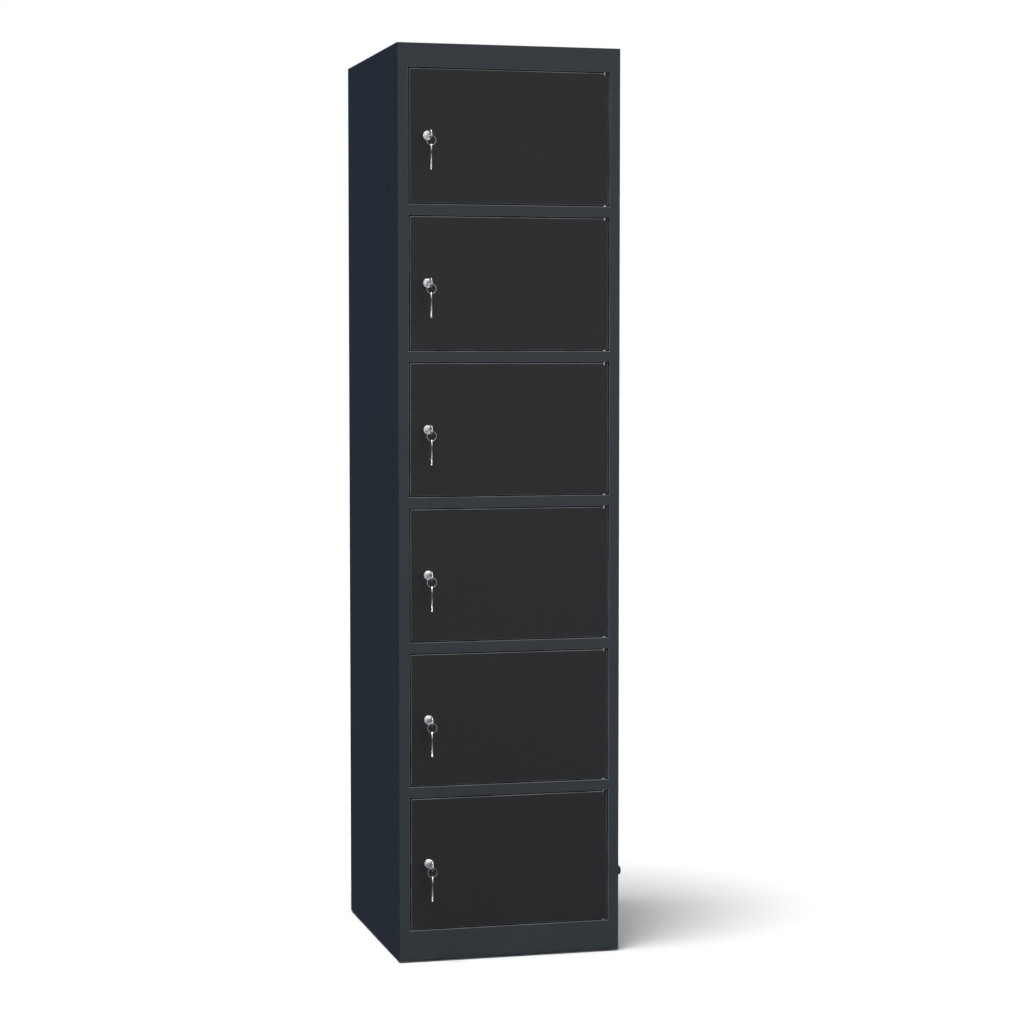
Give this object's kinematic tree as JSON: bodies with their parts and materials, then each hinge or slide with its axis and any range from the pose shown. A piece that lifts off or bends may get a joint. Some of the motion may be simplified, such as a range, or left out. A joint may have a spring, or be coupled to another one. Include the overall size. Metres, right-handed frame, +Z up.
{
  "type": "locker cabinet",
  "caption": "Tall steel locker of stacked equal compartments, flush pivot-hung doors with cam locks and keys, raised floors behind a folded front frame.",
  "frame": {"origin": "on the floor under the middle of the sheet-metal body, in the plane of the feet's undersides", "axes": "+Z up, doors and locks face -Y, +X to the right as seen from the front, hinges on the right"},
  "size_m": [0.456, 0.5438, 1.8],
  "materials": {
    "body_paint": "anthracite fine-texture powder coat, semi-matt",
    "door_paint": "near-black fine-texture powder coat, semi-matt",
    "lock_metal": "bright nickel-chrome plate",
    "key_metal": "nickel-plated, lightly brushed",
    "zinc": "bright zinc plate",
    "rubber": "matt black rubber",
    "foot_plastic": "matt black moulded plastic"
  },
  "bodies": {
    "cabinet": {"left_side_panel": "body_paint", "right_side_panel": "body_paint", "back_panel": "body_paint", "top_panel": "body_paint", "base_pan": "body_paint", "shelf_1": "body_paint", "shelf_2": "body_paint", "shelf_3": "body_paint", "shelf_4": "body_paint", "shelf_5": "body_paint", "hinge_pins": "zinc", "door_buffers": "rubber", "strike_plates": "zinc", "back_rivets": "zinc", "side_stop": "rubber", "levelling_feet": "foot_plastic"},
    "door_1": {"door_1": "door_paint", "door_1_stiffener": "door_paint", "lock_1_housing": "lock_metal"},
    "lock_1": {"lock_1_plug": "lock_metal"},
    "key_1": {"key_1": "key_metal"},
    "key_ring_1": {"key_ring_1": "key_metal"},
    "spare_key_1": {"spare_key_1": "key_metal"},
    "door_2": {"door_2": "door_paint", "door_2_stiffener": "door_paint", "lock_2_housing": "lock_metal"},
    "lock_2": {"lock_2_plug": "lock_metal"},
    "key_2": {"key_2": "key_metal"},
    "key_ring_2": {"key_ring_2": "key_metal"},
    "spare_key_2": {"spare_key_2": "key_metal"},
    "door_3": {"door_3": "door_paint", "door_3_stiffener": "door_paint", "lock_3_housing": "lock_metal"},
    "lock_3": {"lock_3_plug": "lock_metal"},
    "key_3": {"key_3": "key_metal"},
    "key_ring_3": {"key_ring_3": "key_metal"},
    "spare_key_3": {"spare_key_3": "key_metal"},
    "door_4": {"door_4": "door_paint", "door_4_stiffener": "door_paint", "lock_4_housing": "lock_metal"},
    "lock_4": {"lock_4_plug": "lock_metal"},
    "key_4": {"key_4": "key_metal"},
    "key_ring_4": {"key_ring_4": "key_metal"},
    "spare_key_4": {"spare_key_4": "key_metal"},
    "door_5": {"door_5": "door_paint", "door_5_stiffener": "door_paint", "lock_5_housing": "lock_metal"},
    "lock_5": {"lock_5_plug": "lock_metal"},
    "key_5": {"key_5": "key_metal"},
    "key_ring_5": {"key_ring_5": "key_metal"},
    "spare_key_5": {"spare_key_5": "key_metal"},
    "door_6": {"door_6": "door_paint", "door_6_stiffener": "door_paint", "lock_6_housing": "lock_metal"},
    "lock_6": {"lock_6_plug": "lock_metal"},
    "key_6": {"key_6": "key_metal"},
    "key_ring_6": {"key_ring_6": "key_metal"},
    "spare_key_6": {"spare_key_6": "key_metal"}
  },
  "joints": [
    {"name": "door_1_hinge", "type": "hinge", "parent": "cabinet", "child": "door_1", "pos_m": [0.194, -0.244, 1.48983], "axis": [0, 0, 1], "range_deg": [0, 100]},
    {"name": "lock_1_turn", "type": "hinge", "parent": "door_1", "child": "lock_1", "pos_m": [-0.1655, -0.25, 1.62142], "axis": [0, 1, 0], "range_deg": [0, 90]},
    {"name": "key_1_slide", "type": "slide", "parent": "lock_1", "child": "key_1", "axis": [0, -1, 0], "range_m": [0, 0.018]},
    {"name": "key_ring_1_swing", "type": "hinge", "parent": "key_1", "child": "key_ring_1", "pos_m": [-0.1655, -0.2826, 1.61542], "axis": [0, 1, 0], "range_deg": [-90, 0]},
    {"name": "spare_key_1_swing", "type": "hinge", "parent": "key_ring_1", "child": "spare_key_1", "pos_m": [-0.1655, -0.2826, 1.60082], "axis": [1, 0, 0], "range_deg": [-60, 20]},
    {"name": "door_2_hinge", "type": "hinge", "parent": "cabinet", "child": "door_2", "pos_m": [0.194, -0.244, 1.20467], "axis": [0, 0, 1], "range_deg": [0, 100]},
    {"name": "lock_2_turn", "type": "hinge", "parent": "door_2", "child": "lock_2", "pos_m": [-0.1655, -0.25, 1.33625], "axis": [0, 1, 0], "range_deg": [0, 90]},
    {"name": "key_2_slide", "type": "slide", "parent": "lock_2", "child": "key_2", "axis": [0, -1, 0], "range_m": [0, 0.018]},
    {"name": "key_ring_2_swing", "type": "hinge", "parent": "key_2", "child": "key_ring_2", "pos_m": [-0.1655, -0.2826, 1.33025], "axis": [0, 1, 0], "range_deg": [-90, 0]},
    {"name": "spare_key_2_swing", "type": "hinge", "parent": "key_ring_2", "child": "spare_key_2", "pos_m": [-0.1655, -0.2826, 1.31565], "axis": [1, 0, 0], "range_deg": [-60, 20]},
    {"name": "door_3_hinge", "type": "hinge", "parent": "cabinet", "child": "door_3", "pos_m": [0.194, -0.244, 0.9195], "axis": [0, 0, 1], "range_deg": [0, 100]},
    {"name": "lock_3_turn", "type": "hinge", "parent": "door_3", "child": "lock_3", "pos_m": [-0.1655, -0.25, 1.05108], "axis": [0, 1, 0], "range_deg": [0, 90]},
    {"name": "key_3_slide", "type": "slide", "parent": "lock_3", "child": "key_3", "axis": [0, -1, 0], "range_m": [0, 0.018]},
    {"name": "key_ring_3_swing", "type": "hinge", "parent": "key_3", "child": "key_ring_3", "pos_m": [-0.1655, -0.2826, 1.04508], "axis": [0, 1, 0], "range_deg": [-90, 0]},
    {"name": "spare_key_3_swing", "type": "hinge", "parent": "key_ring_3", "child": "spare_key_3", "pos_m": [-0.1655, -0.2826, 1.03048], "axis": [1, 0, 0], "range_deg": [-60, 20]},
    {"name": "door_4_hinge", "type": "hinge", "parent": "cabinet", "child": "door_4", "pos_m": [0.194, -0.244, 0.63433], "axis": [0, 0, 1], "range_deg": [0, 100]},
    {"name": "lock_4_turn", "type": "hinge", "parent": "door_4", "child": "lock_4", "pos_m": [-0.1655, -0.25, 0.76592], "axis": [0, 1, 0], "range_deg": [0, 90]},
    {"name": "key_4_slide", "type": "slide", "parent": "lock_4", "child": "key_4", "axis": [0, -1, 0], "range_m": [0, 0.018]},
    {"name": "key_ring_4_swing", "type": "hinge", "parent": "key_4", "child": "key_ring_4", "pos_m": [-0.1655, -0.2826, 0.75992], "axis": [0, 1, 0], "range_deg": [-90, 0]},
    {"name": "spare_key_4_swing", "type": "hinge", "parent": "key_ring_4", "child": "spare_key_4", "pos_m": [-0.1655, -0.2826, 0.74532], "axis": [1, 0, 0], "range_deg": [-60, 20]},
    {"name": "door_5_hinge", "type": "hinge", "parent": "cabinet", "child": "door_5", "pos_m": [0.194, -0.244, 0.34917], "axis": [0, 0, 1], "range_deg": [0, 100]},
    {"name": "lock_5_turn", "type": "hinge", "parent": "door_5", "child": "lock_5", "pos_m": [-0.1655, -0.25, 0.48075], "axis": [0, 1, 0], "range_deg": [0, 90]},
    {"name": "key_5_slide", "type": "slide", "parent": "lock_5", "child": "key_5", "axis": [0, -1, 0], "range_m": [0, 0.018]},
    {"name": "key_ring_5_swing", "type": "hinge", "parent": "key_5", "child": "key_ring_5", "pos_m": [-0.1655, -0.2826, 0.47475], "axis": [0, 1, 0], "range_deg": [-90, 0]},
    {"name": "spare_key_5_swing", "type": "hinge", "parent": "key_ring_5", "child": "spare_key_5", "pos_m": [-0.1655, -0.2826, 0.46015], "axis": [1, 0, 0], "range_deg": [-60, 20]},
    {"name": "door_6_hinge", "type": "hinge", "parent": "cabinet", "child": "door_6", "pos_m": [0.194, -0.244, 0.064], "axis": [0, 0, 1], "range_deg": [0, 100]},
    {"name": "lock_6_turn", "type": "hinge", "parent": "door_6", "child": "lock_6", "pos_m": [-0.1655, -0.25, 0.19558], "axis": [0, 1, 0], "range_deg": [0, 90]},
    {"name": "key_6_slide", "type": "slide", "parent": "lock_6", "child": "key_6", "axis": [0, -1, 0], "range_m": [0, 0.018]},
    {"name": "key_ring_6_swing", "type": "hinge", "parent": "key_6", "child": "key_ring_6", "pos_m": [-0.1655, -0.2826, 0.18958], "axis": [0, 1, 0], "range_deg": [-90, 0]},
    {"name": "spare_key_6_swing", "type": "hinge", "parent": "key_ring_6", "child": "spare_key_6", "pos_m": [-0.1655, -0.2826, 0.17498], "axis": [1, 0, 0], "range_deg": [-60, 20]}
  ],
  "couplings": [
    {"joint": "key_ring_1_swing", "follows": "lock_1_turn", "ratio": -1},
    {"joint": "key_ring_2_swing", "follows": "lock_2_turn", "ratio": -1},
    {"joint": "key_ring_3_swing", "follows": "lock_3_turn", "ratio": -1},
    {"joint": "key_ring_4_swing", "follows": "lock_4_turn", "ratio": -1},
    {"joint": "key_ring_5_swing", "follows": "lock_5_turn", "ratio": -1},
    {"joint": "key_ring_6_swing", "follows": "lock_6_turn", "ratio": -1}
  ]
}
